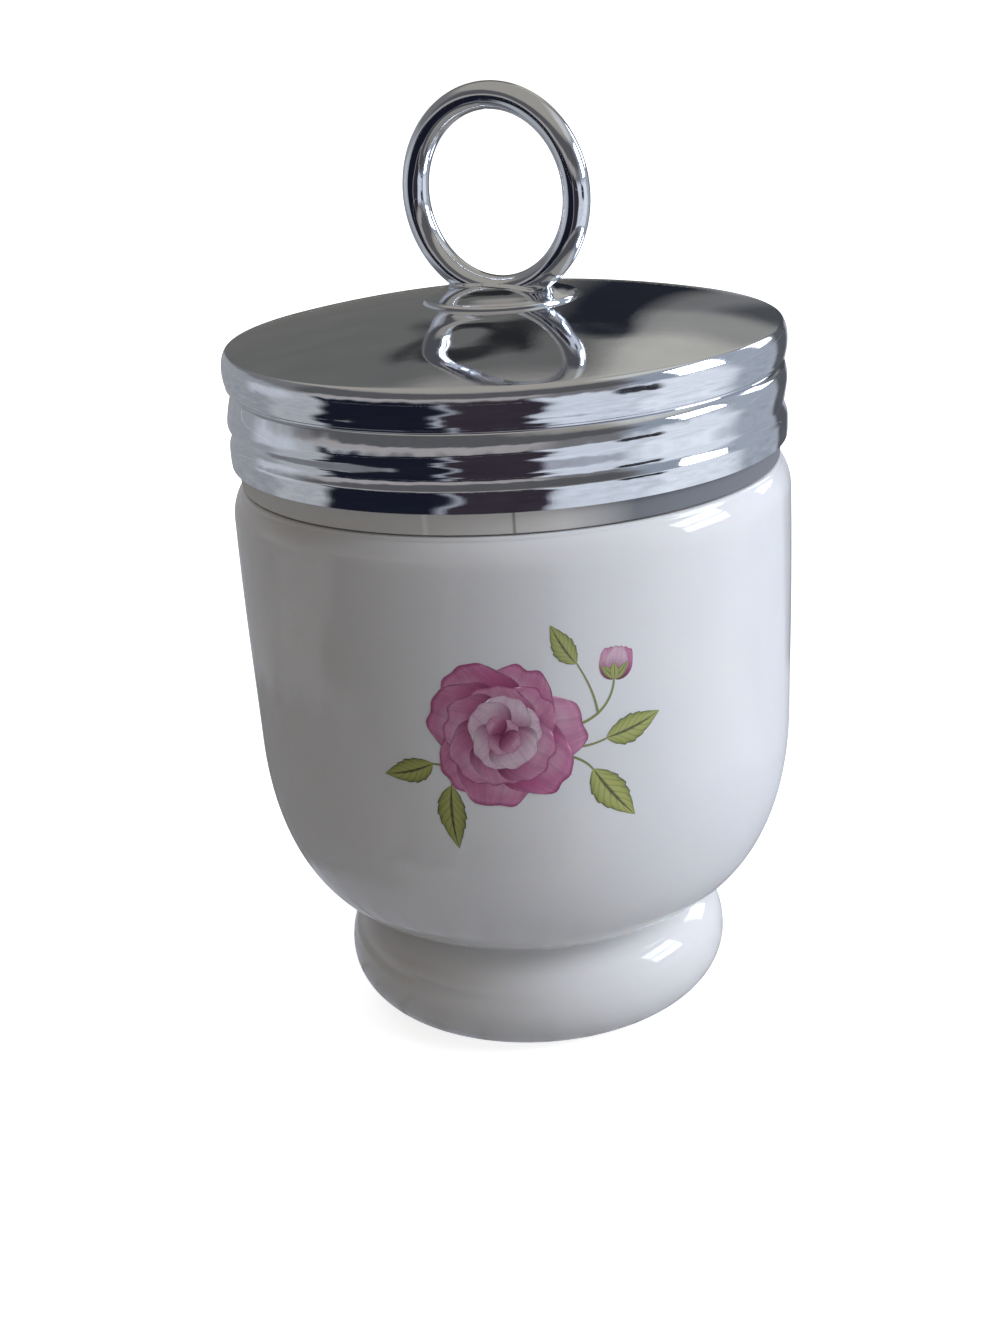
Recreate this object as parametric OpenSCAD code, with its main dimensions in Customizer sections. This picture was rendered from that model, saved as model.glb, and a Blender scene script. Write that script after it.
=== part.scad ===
// Porcelain egg coddler: a footed cup closed by a screw-on metal lid with a lifting ring.
// Millimetres, +Z up. The origin is the centre of the foot, on the surface it stands on.

/* [Cup body] */
// Height of the shoulder ledge that the lid's hem comes down to
shoulder_z = 58.65; // [52:0.05:70]
// How far the body stands out past the lid's skirt, on the radius
body_proud = 0.25; // [0.1:0.05:1.5]
// Height at which the round belly becomes the nearly straight side
side_z = 31; // [27:0.5:36]
// How much narrower the side is at its foot than at the shoulder, on the radius
side_taper = 0.5; // [0:0.1:1.5]
// Height of the rounded shoulder
shoulder_h = 3.25; // [2:0.05:4.5]
// How far the shoulder rolls in before its top edge
shoulder_in = 0.9; // [0.5:0.05:1.5]
// Thickness of the porcelain wall
wall = 3; // [2.2:0.1:3.6]
// Height of the cavity's floor
floor_z = 11.5; // [9:0.5:15]

/* [Foot ring] */
// Widest radius of the foot ring
foot_r = 20.6; // [18.5:0.1:23]
// Height at which the foot ring is widest
foot_mid_z = 5.5; // [4:0.1:7]
// How far the standing edge lies in from the widest radius
foot_tuck = 4.9; // [3.5:0.1:6]
// Width of the standing edge
stand_w = 2.4; // [1.5:0.1:4]
// Depth of the waist between foot ring and body, on the radius
waist_in = 3.7; // [2.5:0.1:5]
// Height of the waist
waist_z = 11.4; // [10:0.1:13]
// Radius of the glaze fillet in the waist
waist_round = 0.5; // [0.3:0.05:0.8]
// Depth of the hollow under the foot
hollow_h = 3.8; // [2:0.1:4]

/* [Neck] */
// Thickness of the neck wall
neck_t = 2.6; // [2:0.1:3.5]
// Radius of the fillet at the root of the neck
neck_fillet = 0.4; // [0.2:0.1:0.6]

/* [Lid] */
// Radius of the skirt at its beads
lid_r = 28.45; // [26:0.05:32]
// Thickness of the pressed metal
lid_t = 0.45; // [0.35:0.05:0.6]
// Height of the skirt, from its hem to the rim of the top
skirt_h = 13.6; // [12.5:0.1:16]
// Rise of the domed top above its rim
dome_h = 3.4; // [2:0.1:6]
// How far the rim of the dome lies in from the beads
rim_in = 0.45; // [0.2:0.05:0.7]
// Height of the top bead below the rim
top_bead_h = 3.45; // [2.5:0.05:4]
// Depth of the plain wall between the beads
roll_depth = 0.45; // [0.2:0.05:0.6]
// Height of the narrow groove below the top bead
groove_h = 0.7; // [0.4:0.1:1]
// Depth of that groove into the plain wall
groove_depth = 0.15; // [0.05:0.05:0.25]
// Height of the low bead above the hem
low_bead_h = 2.6; // [2:0.1:3]
// Height of the plain hem band
hem_h = 2.2; // [1.5:0.1:3]
// How far the hem lies in from the beads
hem_in = 0.85; // [0.6:0.05:1]

/* [Screw thread] */
// Rise in one turn
pitch = 3.2; // [3.1:0.1:4]
// Turns of the ridge on the neck
ridge_turns = 1.5; // [1:0.05:1.6]
// How far the ridge stands out from the neck
ridge_h = 1.4; // [1:0.05:1.8]
// Width of the ridge at its root
ridge_w = 1.9; // [1.5:0.1:2.2]
// Height of the ridge's lower end above the shoulder ledge
ridge_up = 5.2; // [4.6:0.1:5.6]
// Turns of the bead inside the lid
bead_turns = 0.8; // [0.6:0.05:1]
// How far the bead stands in from the skirt's plain wall
bead_h = 1.15; // [0.9:0.05:1.3]
// Width of the bead at its root
bead_w = 1.7; // [1.3:0.1:1.9]
// How far the bead runs below the ridge
bead_drop = 1.5; // [1.3:0.05:1.8]
// Width of the rolled ridge that shows outside the skirt
roll_w = 3.4; // [2.8:0.1:3.8]
// How far the middle of the rolled ridge is above the neck's ridge
roll_up = 0.55; // [0.3:0.05:0.8]
// Turns of that rolled ridge
roll_turns = 0.97; // [0.8:0.01:0.98]

/* [Ring and boss] */
// Radius of the ring, to the middle of its wire
ring_r = 9.42; // [8:0.02:11]
// Radius of the wire
wire_r = 1.36; // [1.1:0.02:1.6]
// Turn of the ring's plane about the upright axis
ring_turn = -33; // [-90:1:90]
// Radius of the boss
boss_r = 7.85; // [7:0.05:9]
// Height of the boss at its middle
boss_h = 1.45; // [1.2:0.05:1.8]
// Height of the boss's edge
boss_edge_h = 0.3; // [0.2:0.05:0.5]
// Thickness of the boss under the ring's flat
seat_t = 0.5; // [0.4:0.05:0.8]
// How deep the ring's flat is cut into the wire
ring_flat = 0.95; // [0.6:0.05:1.2]

/* [Rivet and washer] */
// Radius of the rivet's shank
rivet_r = 1.5; // [1.2:0.1:2]
// Radius of the rivet's head
rivet_head_r = 3; // [2.5:0.1:3.6]
// Height of the rivet's head
rivet_head_h = 1.1; // [0.8:0.1:1.4]
// Radius of the washer
washer_r = 4.8; // [4:0.1:6]
// Thickness of the washer
washer_t = 0.6; // [0.4:0.1:1]

/* [Clearances] */
// Gap between the hem and the shoulder ledge
hem_gap = 0.2; // [0.15:0.05:0.4]
// Gap between the lip and the inside of the lid's top
lip_gap = 0.25; // [0.15:0.05:0.4]
// Gap between the neck's ridge and the inside of the hem, on the radius
thread_gap = 0.25; // [0.2:0.05:0.4]
// Running gap round the rivet, on the radius
rivet_gap = 0.05; // [0.03:0.01:0.08]
// Gap at each end of the rivet
rivet_end_gap = 0.06; // [0.04:0.01:0.1]
// Solder gap between the wire and its saddle in the boss
saddle_gap = 0.03; // [0.02:0.01:0.05]

/* [Hidden] */
$fn = 96;

// Fine steps
eps = 0.01;
sink = 0.07;
bead_shy = 0.02;
curve_steps = 12;
thread_steps = 72;
thread_arc_steps = 5;
thread_lead = 24;

// Radii that follow from the lid
skirt_r = lid_r - roll_depth;
hem_r = lid_r - hem_in;
body_r = lid_r + body_proud;
ridge_r = hem_r - lid_t - thread_gap;
neck_r = ridge_r - ridge_h;
bore_r = neck_r - neck_t;
lip_r = neck_r - neck_t / 2;
rim_r = lid_r - rim_in;
land_r = boss_r + 0.15;

// Heights that follow from the shoulder
hem_z = shoulder_z + hem_gap;
step_z = hem_z + hem_h;
rim_z = hem_z + skirt_h;
groove_z = rim_z - top_bead_h;
land_z = rim_z + dome_h * (1 - pow(land_r / rim_r, 2));
lip_z = dome_z(lip_r) - lid_t - lip_gap;
ridge_z = shoulder_z + ridge_up;
ridge_start = 60;
bead_start = 205;
bead_z = ridge_z - bead_drop + pitch * (bead_start - ridge_start) / 360;
// The rolled ridge is level with the neck's ridge, and runs out at the back
roll_start = 95;
roll_flat = 0.6;
roll_z = ridge_z + roll_up + pitch * (roll_start - ridge_start) / 360;
// Depths to which the threads are rooted in the wall that they stand on. Rolled ridge and bead
// don't reach through the sheet.
ridge_bury = 0.3;
roll_bury = groove_depth + 0.05;
bead_bury = lid_t - 0.25;

// Heights of the ring, boss and rivet
seat_z = land_z + seat_t;
ring_z = seat_z + ring_r + wire_r - ring_flat;
washer_top_z = land_z - lid_t;
washer_z = washer_top_z - washer_t;
rivet_top_z = seat_z - rivet_end_gap;
rivet_head_z = washer_z - rivet_end_gap;

// Height of the top of the dome's sheet at radius r
function dome_z(r) = rim_z + dome_h * (1 - pow(max(r, land_r) / rim_r, 2));

// Points along a cubic curve from a to d, without its first point
function bend(a, b, c, d, n = curve_steps) = [
    for (i = [1:n])
        let (t = i / n, s = 1 - t)
            a * s * s * s + 3 * b * t * s * s + 3 * c * t * t * s + d * t * t * t
];

// Points along an arc about c, from angle a0 to angle a1, without its first point
function arc(c, r, a0, a1, n = 6) = [
    for (i = [1:n])
        c + polar(r, a0 + (a1 - a0) * i / n)
];

// Step of length r in the direction a
function polar(r, a) = [r * cos(a), r * sin(a)];

// Outer outline of the cup, from the standing edge up to the root of the neck
stand_r = foot_r - foot_tuck;
waist_r = foot_r - waist_in;
side_r = body_r - side_taper;
shoulder_r = body_r - shoulder_in;
shoulder_low = shoulder_z - shoulder_h;
edge_round = 0.4;
foot_low = [stand_r, 0];
foot_out = [foot_r, foot_mid_z];
waist_c = [waist_r + waist_round, waist_z];
foot_angle = 247;
belly_angle = 98;
foot_high = waist_c + polar(waist_round, foot_angle);
belly_low = waist_c + polar(waist_round, belly_angle);
side_p = [side_r, side_z];
shoulder_p = [body_r, shoulder_low];

cup_outside = concat(
    [foot_low],
    bend(foot_low, [stand_r + 2.2, 0.1], [foot_r, 2.3], foot_out),
    bend(foot_out, [foot_r, foot_mid_z + 3.2], foot_high + polar(2, foot_angle + 90), foot_high, 8),
    arc(waist_c, waist_round, foot_angle, belly_angle, 5),
    bend(belly_low, belly_low + polar(6.2, belly_angle - 90), [side_r - 0.3, side_z - 11], side_p, 16),
    bend(side_p, [side_r + 0.2, side_z + 8], [body_r, shoulder_low - 10], shoulder_p, 6),
    bend(shoulder_p, [body_r, shoulder_low + 1.3], [shoulder_r + 0.45, shoulder_z - 1],
        [shoulder_r, shoulder_z - edge_round], 6),
    arc([shoulder_r - edge_round, shoulder_z - edge_round], edge_round, 0, 90, 4),
    [[neck_r + neck_fillet, shoulder_z]],
    arc([neck_r + neck_fillet, shoulder_z + neck_fillet], neck_fillet, 270, 180, 4)
);

// Rounded lip, then the cavity down to its floor
lip_round = neck_t / 2;
cavity_r = side_r - wall;
cavity_top_r = body_r - wall;
cup_inside = concat(
    [[neck_r, lip_z - lip_round]],
    arc([lip_r, lip_z - lip_round], lip_round, 0, 180, 10),
    [[bore_r, shoulder_z + 1.5]],
    bend([bore_r, shoulder_z + 1.5], [bore_r, shoulder_z - 1.5],
        [cavity_top_r, shoulder_z - 3], [cavity_top_r, shoulder_z - 7], 8),
    bend([cavity_top_r, shoulder_z - 7], [cavity_top_r, side_z + 12],
        [cavity_r, side_z + 6], [cavity_r, side_z + 1], 4),
    bend([cavity_r, side_z + 1], [cavity_r - 0.6, side_z - 11], [cavity_r - 9, floor_z],
        [0, floor_z], 18)
);

// Hollow under the foot, from its middle out to the standing edge
hollow_r = stand_r - stand_w;
cup_under = concat(
    [[0, hollow_h]],
    bend([0, hollow_h], [hollow_r * 0.6, hollow_h], [hollow_r - 1.4, hollow_h - 0.2],
        [hollow_r - 0.8, hollow_h - 1.4], 6),
    bend([hollow_r - 0.8, hollow_h - 1.4], [hollow_r - 0.5, 0.7], [hollow_r - 0.4, 0.1],
        [hollow_r, 0], 4)
);

// Outer outline of the lid's sheet, from the edge of the boss's landing down to the hem
dome_steps = 14;
low_bead_top = step_z + low_bead_h;
lid_outside = concat(
    [for (i = [0:dome_steps])
        let (r = land_r + (rim_r - 0.15 - land_r) * i / dome_steps)
            [r, dome_z(r)]],
    [[rim_r, rim_z - 0.1]],
    bend([rim_r, rim_z - 0.1], [lid_r - 0.1, rim_z - 0.3], [lid_r + 0.12, groove_z + 1.7],
        [lid_r - 0.3, groove_z], 8),
    [[skirt_r - groove_depth, groove_z - 0.1],
     [skirt_r - groove_depth, groove_z - groove_h + 0.2],
     [skirt_r, groove_z - groove_h]],
    [[skirt_r, low_bead_top]],
    bend([skirt_r, low_bead_top], [skirt_r + 0.05, low_bead_top - 0.7],
        [lid_r + 0.15, low_bead_top - 0.9], [lid_r - 0.05, step_z], 8),
    [[hem_r + 0.15, step_z - 0.1],
     [hem_r, hem_z]]
);

// Inner outline of the lid's sheet, from the hem back up to the landing
lid_inside = concat(
    [[hem_r - lid_t, hem_z],
     [hem_r - lid_t + 0.1, step_z + 0.35],
     [lid_r - lid_t - 0.1, step_z + 0.6]],
    [[lid_r - lid_t, step_z + 1.2],
     [skirt_r - lid_t, low_bead_top - 0.6],
     [skirt_r - lid_t, groove_z - groove_h - 0.2],
     [skirt_r - lid_t - groove_depth, groove_z - groove_h + 0.1],
     [skirt_r - lid_t - groove_depth, groove_z],
     [lid_r - lid_t - 0.25, groove_z + 0.4],
     [lid_r - lid_t - 0.05, groove_z + 1.6],
     [lid_r - lid_t - 0.2, rim_z - 0.9],
     [rim_r - lid_t - 0.3, rim_z - lid_t]],
    [for (i = [dome_steps - 1:-1:0])
        let (r = land_r + (rim_r - 0.9 - land_r) * i / dome_steps)
            [r, dome_z(r) - lid_t]]
);

// A ridge or bead that climbs round the axis as a right-hand thread. It stands proud of radius r0
// by height, outwards where side is 1 and inwards where side is -1, and fades out at both ends.
module thread_roll(r0, z0, start, turns, width, height, bury, side = 1, flat = 1) {
    steps = round(thread_steps * turns);
    turn_step = 360 * turns / steps;
    arc_pts = [
        for (i = [0:thread_arc_steps])
            let (a = 180 * i / thread_arc_steps)
                [(height + sink) * pow(sin(a), flat) - sink, -width / 2 * cos(a)]
    ];
    section = concat([[-bury, -width / 2]], arc_pts, [[-bury, width / 2]]);
    count = len(section);
    points = [
        for (i = [0:steps])
            let (
                a = start + turn_step * i,
                fade = min(1, i * turn_step / thread_lead, (steps - i) * turn_step / thread_lead),
                z = z0 + pitch * turn_step * i / 360
            )
                for (p = section)
                    let (
                        proud = p.x < -sink ? p.x : -sink + (p.x + sink) * sin(90 * fade),
                        r = r0 + side * proud
                    )
                        [r * cos(a), r * sin(a), z + p.y]
    ];
    sides = [
        for (i = [0:steps - 1])
            for (j = [0:count - 1])
                let (
                    k = (j + 1) % count,
                    a = i * count + j,
                    b = i * count + k,
                    c = (i + 1) * count + k,
                    d = (i + 1) * count + j
                )
                    for (f = side > 0 ? [[a, b, c], [a, c, d]] : [[a, c, b], [a, d, c]])
                        f
    ];
    first = [for (j = [0:count - 1]) j];
    last = [for (j = [0:count - 1]) steps * count + j];
    backward = [for (j = [count - 1:-1:0]) j];
    backward_last = [for (j = [count - 1:-1:0]) steps * count + j];
    ends = side > 0 ? [backward, last] : [first, backward_last];
    polyhedron(points, concat(sides, ends), convexity = 6);
}

// One piece of glazed porcelain: foot ring, body, shoulder, threaded neck and rounded lip
module cup() {
    color("ghostwhite") union() {
        rotate_extrude()
            polygon(concat(cup_under, cup_outside, cup_inside));
        thread_roll(neck_r, ridge_z, ridge_start, ridge_turns, ridge_w, ridge_h, ridge_bury);
    }
}

// Pressed and plated metal cap: domed top, beaded skirt, rolled thread and plain hem
module lid_shell() {
    color("silver") difference() {
        union() {
            rotate_extrude()
                polygon(concat([[0, land_z]], lid_outside, lid_inside, [[0, land_z - lid_t]]));
            thread_roll(skirt_r, roll_z, roll_start, roll_turns, roll_w, roll_depth - bead_shy,
                roll_bury, 1, roll_flat);
            thread_roll(skirt_r - lid_t, bead_z, bead_start, bead_turns, bead_w, bead_h,
                bead_bury, -1);
        }
        translate([0, 0, land_z - lid_t - 1])
            cylinder(r = rivet_r + rivet_gap, h = lid_t + 2);
    }
}

// Wire loop, round its upright middle plane
module ring_loop(r) {
    translate([0, 0, ring_z])
        rotate([90, 0, ring_turn])
            rotate_extrude()
                translate([ring_r, 0])
                    circle(r = r, $fn = 48);
}

// Low round boss that the ring is soldered into
module ring_base() {
    color("lightgray") difference() {
        rotate_extrude()
            polygon(concat(
                [[0, land_z], [boss_r, land_z]],
                bend([boss_r, land_z], [boss_r + 0.02, land_z + boss_edge_h],
                    [boss_r - 0.5, land_z + boss_edge_h + 0.25],
                    [boss_r - 1.1, land_z + boss_edge_h + 0.4], 6),
                bend([boss_r - 1.1, land_z + boss_edge_h + 0.4],
                    [boss_r - 2.2, land_z + boss_edge_h + 0.7],
                    [boss_r - 3.6, land_z + boss_h], [0, land_z + boss_h], 8)
            ));
        intersection() {
            ring_loop(wire_r + saddle_gap);
            translate([-boss_r, -boss_r, seat_z])
                cube([2 * boss_r, 2 * boss_r, 2 * wire_r]);
        }
        translate([0, 0, land_z - 1])
            cylinder(r = rivet_r + rivet_gap, h = seat_t + 1 + eps);
    }
}

// Lifting ring of round wire, with a flat where it stands in the boss
module ring_handle() {
    color("gainsboro") difference() {
        ring_loop(wire_r);
        translate([-ring_r, -ring_r, seat_z - 2 * wire_r])
            cube([2 * ring_r, 2 * ring_r, 2 * wire_r]);
    }
}

// Rivet that holds lid, boss and washer together, with its round head inside the lid
module rivet() {
    color("darkgray") union() {
        translate([0, 0, rivet_head_z - eps])
            cylinder(r = rivet_r, h = rivet_top_z - rivet_head_z + eps);
        rotate_extrude()
            polygon(concat(
                [[0, rivet_head_z], [0, rivet_head_z - rivet_head_h]],
                bend([0, rivet_head_z - rivet_head_h],
                    [rivet_head_r * 0.6, rivet_head_z - rivet_head_h],
                    [rivet_head_r, rivet_head_z - rivet_head_h * 0.5],
                    [rivet_head_r, rivet_head_z], 8)
            ));
    }
}

// Flat washer that spreads the rivet's pull over the thin sheet
module rivet_washer() {
    color("silver") difference() {
        translate([0, 0, washer_z])
            cylinder(r = washer_r, h = washer_t);
        translate([0, 0, washer_z - 1])
            cylinder(r = rivet_r + rivet_gap, h = washer_t + 2);
    }
}

cup();
lid_shell();
ring_base();
ring_handle();
rivet();
rivet_washer();
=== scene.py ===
import math

import bmesh
import bpy
import numpy as np
from mathutils import Matrix


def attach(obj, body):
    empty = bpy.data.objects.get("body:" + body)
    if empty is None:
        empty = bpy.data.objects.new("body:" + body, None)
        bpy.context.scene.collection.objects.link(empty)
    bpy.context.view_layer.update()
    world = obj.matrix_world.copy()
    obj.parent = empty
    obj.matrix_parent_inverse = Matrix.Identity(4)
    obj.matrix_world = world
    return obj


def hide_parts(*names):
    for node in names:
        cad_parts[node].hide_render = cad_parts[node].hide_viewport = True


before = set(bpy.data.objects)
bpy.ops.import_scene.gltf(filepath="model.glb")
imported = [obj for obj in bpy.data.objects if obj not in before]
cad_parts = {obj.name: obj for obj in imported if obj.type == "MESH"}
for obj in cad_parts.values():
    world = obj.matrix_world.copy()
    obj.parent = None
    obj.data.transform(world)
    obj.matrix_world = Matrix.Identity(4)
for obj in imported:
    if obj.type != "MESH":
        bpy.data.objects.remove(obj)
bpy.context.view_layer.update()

mm = 0.001
turnSteps = 288  # columns round the axis of each turned piece


# ---- small tools ----

def toLinear(hexColour):
    # sRGB hex to the linear colour that Blender's sockets hold
    parts = [int(hexColour[i:i + 2], 16) / 255 for i in (1, 3, 5)]
    return tuple(c / 12.92 if c <= 0.04045 else ((c + 0.055) / 1.055) ** 2.4 for c in parts) + (1.0,)


def smoothStep(x, low, high):
    t = np.clip((np.asarray(x, float) - low) / (high - low), 0, 1)
    return t * t * (3 - 2 * t)


def curveThrough(a, b, c, d, count):
    # points of a cubic curve from a to d, without its first point
    t = (np.arange(count) + 1)[:, None] / count
    s = 1 - t
    a, b, c, d = (np.array(p, float) for p in (a, b, c, d))
    return a * s**3 + 3 * b * t * s * s + 3 * c * t * t * s + d * t**3


def arcAbout(centre, radius, fromAngle, toAngle, count):
    angles = np.radians(fromAngle + (toAngle - fromAngle) * (np.arange(count) + 1) / count)
    return np.stack([centre[0] + radius * np.cos(angles), centre[1] + radius * np.sin(angles)], 1)


def lineTo(a, b, count):
    t = (np.arange(count) + 1)[:, None] / count
    return np.array(a, float) * (1 - t) + np.array(b, float) * t


def gridObject(name, grid, closeAcross=True, closeAlong=False, flip=False):
    # a quad mesh from rows of points in millimetres; shared points are welded
    rows, columns = grid.shape[:2]
    i = np.arange(rows if closeAlong else rows - 1)[:, None]
    j = np.arange(columns if closeAcross else columns - 1)[None, :]
    a = i * columns + j
    b = i * columns + (j + 1) % columns
    c = (i + 1) % rows * columns + (j + 1) % columns
    d = (i + 1) % rows * columns + j
    quads = np.stack([a, d, c, b] if flip else [a, b, c, d], -1).reshape(-1, 4)
    mesh = bpy.data.meshes.new(name)
    mesh.from_pydata((grid.reshape(-1, 3) * mm).tolist(), [], quads.tolist())
    weld = bmesh.new()
    weld.from_mesh(mesh)
    bmesh.ops.remove_doubles(weld, verts=weld.verts, dist=1e-7)
    weld.to_mesh(mesh)
    weld.free()
    mesh.shade_smooth()
    mesh.set_sharp_from_angle(angle=math.radians(38))
    piece = bpy.data.objects.new(name, mesh)
    bpy.context.scene.collection.objects.link(piece)
    return piece


def turned(radii, heights):
    # rows of (radius, height) against columns of angle, as points in space
    angles = np.radians(np.arange(turnSteps) * 360 / turnSteps)[None, :]
    radii = np.broadcast_to(radii, (len(heights), turnSteps))
    heights = np.broadcast_to(heights, radii.shape)
    return np.stack([radii * np.cos(angles), radii * np.sin(angles), heights], -1)


def newMaterial(name):
    material = bpy.data.materials.new(name)
    material.use_nodes = True
    material.node_tree.nodes.clear()
    return material


def addNode(tree, kind, inputs=None, **settings):
    # one node with its settings; each input is a value or the socket that feeds it
    node = tree.nodes.new(kind)
    for key, value in settings.items():
        setattr(node, key, value)
    for key, value in (inputs or {}).items():
        if isinstance(value, bpy.types.NodeSocket):
            tree.links.new(value, node.inputs[key])
        else:
            node.inputs[key].default_value = value
    return node


def objectPlace(tree):
    # the place on the piece, which goes with it when it moves
    return addNode(tree, "ShaderNodeTexCoord").outputs["Object"]


def ranged(tree, value, fromRange, toRange, smooth=False):
    kind = "SMOOTHSTEP" if smooth else "LINEAR"
    inputs = {0: value, 1: fromRange[0], 2: fromRange[1], 3: toRange[0], 4: toRange[1]}
    return addNode(tree, "ShaderNodeMapRange", inputs, interpolation_type=kind).outputs[0]


def noise(tree, place, size, detail, **inputs):
    # cloudy noise with grains of a size in millimetres
    inputs.update({"Vector": place, "Scale": 1 / (size * mm), "Detail": detail})
    return addNode(tree, "ShaderNodeTexNoise", inputs).outputs["Fac"]


def maths(tree, operation, *inputs):
    return addNode(tree, "ShaderNodeMath", dict(enumerate(inputs)), operation=operation).outputs[0]


def vectorMaths(tree, operation, *inputs):
    node = addNode(tree, "ShaderNodeVectorMath", dict(enumerate(inputs)), operation=operation)
    return node.outputs["Value" if operation == "LENGTH" else "Vector"]


def scaled(tree, colour, shade):
    inputs = {0: colour, "Scale": shade}
    return addNode(tree, "ShaderNodeVectorMath", inputs, operation="SCALE").outputs["Vector"]


def blended(tree, amount, first, second):
    inputs = {0: amount, 6: first, 7: second}
    return addNode(tree, "ShaderNodeMix", inputs, data_type="RGBA").outputs[2]


def bumped(tree, height, strength, depth):
    # a relief of a depth in millimetres
    inputs = {"Height": height, "Strength": strength, "Distance": depth * mm}
    return addNode(tree, "ShaderNodeBump", inputs).outputs["Normal"]


def ramp(tree, value, stops):
    node = addNode(tree, "ShaderNodeValToRGB", {0: value})
    elements = node.color_ramp.elements
    while len(elements) < len(stops):
        elements.new(0.5)
    for element, (position, colour) in zip(elements, stops):
        element.position = position
        element.color = toLinear(colour)
    return node.outputs[0]


def finishMaterial(material, kind, inputs):
    # the surface's shader, linked to the output
    shader = addNode(material.node_tree, kind, inputs)
    addNode(material.node_tree, "ShaderNodeOutputMaterial", {"Surface": shader.outputs[0]})
    return material


def dress(piece, material, body, stands=()):
    piece.data.materials.clear()
    piece.data.materials.append(material)
    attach(piece, body)
    if stands:
        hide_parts(*stands)


# ---- camera: the photograph's viewpoint ----

camera = {
    "distance": 205.41,  # millimetres in front of the axis; the angles below are in radians
    "height": 110.07,
    "focalPixels": 2039.99,  # of an image 1328 pixels high
    "imageHeight": 1328,
    "sensor": 36.0,
    "yaw": -0.011715,
    "pitch": 0.343705,
    "roll": -0.063920,
}


def placeCamera():
    yaw = camera["yaw"]
    pitch = camera["pitch"]
    roll = camera["roll"]
    forward = np.array([math.sin(yaw) * math.cos(pitch), math.cos(yaw) * math.cos(pitch), -math.sin(pitch)])
    level = np.array([math.cos(yaw), -math.sin(yaw), 0.0])
    upright = np.cross(level, forward)
    right = level * math.cos(roll) + upright * math.sin(roll)
    up = upright * math.cos(roll) - level * math.sin(roll)
    data = bpy.data.cameras.new("camera")
    data.sensor_width = camera["sensor"]
    data.lens = camera["focalPixels"] * camera["sensor"] / camera["imageHeight"]
    data.clip_start = 0.01
    eye = bpy.data.objects.new("camera", data)
    at = (0.0, -camera["distance"] * mm, camera["height"] * mm)
    place = Matrix.Identity(4)
    for row in range(3):
        place[row] = (right[row], up[row], -forward[row], at[row])
    eye.matrix_world = place
    bpy.context.scene.collection.objects.link(eye)
    bpy.context.scene.camera = eye
    print("camera placed")


placeCamera()


# ---- porcelain cup ----

cup = {
    "standRadius": 15.7, "standWidth": 2.4, "hollowHeight": 3.8,
    "footRadius": 20.6, "footMiddle": 5.5,
    "waistRadius": 17.4, "waistHeight": 11.4, "waistRound": 0.5, "footAngle": 247, "bellyAngle": 98,
    "sideRadius": 28.2, "sideHeight": 31.0,
    "bodyRadius": 28.7, "shoulderLow": 55.4, "shoulderRadius": 27.8, "shoulderHeight": 58.65,
    "edgeRound": 0.4, "neckRadius": 25.5, "neckWall": 2.6, "lipHeight": 72.61,
    "wall": 3.0, "floorHeight": 11.5,
    "ridgeStart": 60, "ridgeTurns": 1.5, "ridgeHeight": 63.85, "ridgeProud": 1.4, "ridgeWidth": 1.9,
    "pitch": 3.2, "ridgeFade": 24,
}


def helixBump(angles, heights, start, turns, firstHeight, width, fade):
    # 0 to 1 over a right-hand thread of that pitch, for every height and angle in degrees
    bump = np.zeros((len(heights), len(angles)))
    for lap in range(3):
        along = angles + 360 * lap - start
        middle = firstHeight + cup["pitch"] * along / 360
        ends = smoothStep(along, 0, fade) * (1 - smoothStep(along, 360 * turns - fade, 360 * turns))
        across = np.clip(np.abs(heights[:, None] - middle[None, :]) / (width / 2), 0, 1)
        bump = np.maximum(bump, ends[None, :] * np.cos(across * math.pi / 2) ** 0.8)
    return bump


def polar(radius, degrees):
    return radius * np.array([math.cos(math.radians(degrees)), math.sin(math.radians(degrees))])


def cupOutside():
    # the outside from the standing edge to the shoulder; bare numbers here set handles of the curves
    c = cup
    stand = (c["standRadius"], 0)
    footOut = (c["footRadius"], c["footMiddle"])
    waist = (c["waistRadius"], c["waistHeight"])
    footHigh = waist + polar(c["waistRound"], c["footAngle"])
    footHandle = footHigh + polar(2, c["footAngle"] + 90)
    bellyLow = waist + polar(c["waistRound"], c["bellyAngle"])
    bellyHandle = bellyLow + polar(6.2, c["bellyAngle"] - 90)
    side = (c["sideRadius"], c["sideHeight"])
    shoulder = (c["bodyRadius"], c["shoulderLow"])
    edge = (c["shoulderRadius"], c["shoulderHeight"] - c["edgeRound"])
    return np.concatenate([
        [stand],
        curveThrough(stand, (stand[0] + 2.2, 0.1), (footOut[0], 2.3), footOut, 16),
        curveThrough(footOut, (footOut[0], footOut[1] + 3.2), footHandle, footHigh, 14),
        arcAbout(waist, c["waistRound"], c["footAngle"], c["bellyAngle"], 8),
        curveThrough(bellyLow, bellyHandle, (side[0] - 0.3, side[1] - 11), side, 36),
        curveThrough(side, (side[0] + 0.2, side[1] + 8), (shoulder[0], shoulder[1] - 10), shoulder, 24),
        curveThrough(shoulder, (shoulder[0], shoulder[1] + 1.3),
                     (edge[0] + 0.45, c["shoulderHeight"] - 1), edge, 14),
    ])


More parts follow.
